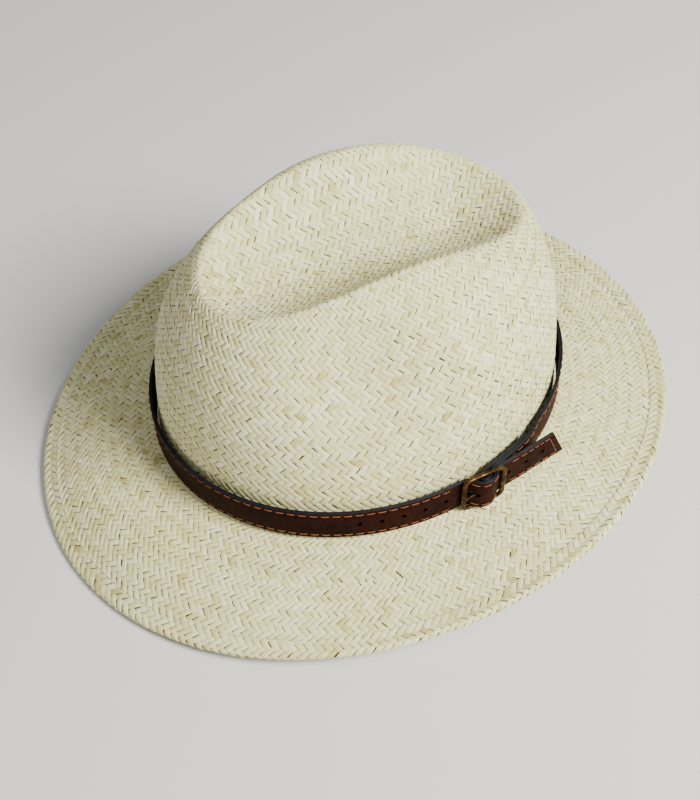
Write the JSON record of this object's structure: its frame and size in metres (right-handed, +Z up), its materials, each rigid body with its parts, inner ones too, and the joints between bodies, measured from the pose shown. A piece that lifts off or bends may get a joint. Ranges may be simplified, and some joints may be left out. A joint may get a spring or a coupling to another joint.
{
  "type": "panama hat",
  "caption": "Creased straw panama hat with a shaped brim, an inner sweatband, and a lift-off leather belt fastened by a pronged buckle round the crown.",
  "frame": {"origin": "floor level under the middle of the brim's outline", "axes": "+Z up, -Y towards the front of the hat, +X to the wearer's left, the buckle's side"},
  "size_m": [0.278, 0.324, 0.1302],
  "materials": {
    "straw": "woven toquilla straw, matte",
    "straw_thread": "matte",
    "wire": "plain",
    "sweatband_leather": "smooth",
    "reed_plastic": "plain",
    "lining_thread": "matte",
    "ribbon": "satin",
    "label_cloth": "matte",
    "belt_leather": "polished, dark painted edge",
    "belt_backing": "matte",
    "belt_thread": "waxed",
    "antique_brass": "antique, rubbed edges"
  },
  "bodies": {
    "hat": {"straw_body": "straw", "brim_edge_wire": "wire", "brim_hem_thread": "straw_thread", "sweatband": "sweatband_leather", "sweatband_reed": "reed_plastic", "sweatband_thread": "lining_thread", "sweatband_bow": "ribbon", "size_label": "label_cloth"},
    "belt": {"strap_face_leather": "belt_leather", "strap_backing_leather": "belt_backing", "strap_thread_upper": "belt_thread", "strap_thread_lower": "belt_thread", "rivet_cap": "antique_brass", "rivet_post": "antique_brass"},
    "buckle": {"buckle_frame": "antique_brass"},
    "prong": {"buckle_prong": "antique_brass"}
  },
  "joints": [
    {"name": "belt_lift", "type": "slide", "parent": "hat", "child": "belt", "axis": [0, 0, 1], "range_m": [0, 0.13]},
    {"name": "buckle_swing", "type": "hinge", "parent": "belt", "child": "buckle", "pos_m": [0.09218, 0.0097, 0.0328], "axis": [0, 0, 1], "range_deg": [-2, 2]},
    {"name": "prong_swing", "type": "hinge", "parent": "buckle", "child": "prong", "pos_m": [0.09218, 0.0097, 0.0328], "axis": [0, 0, 1], "range_deg": [0, 5]}
  ]
}
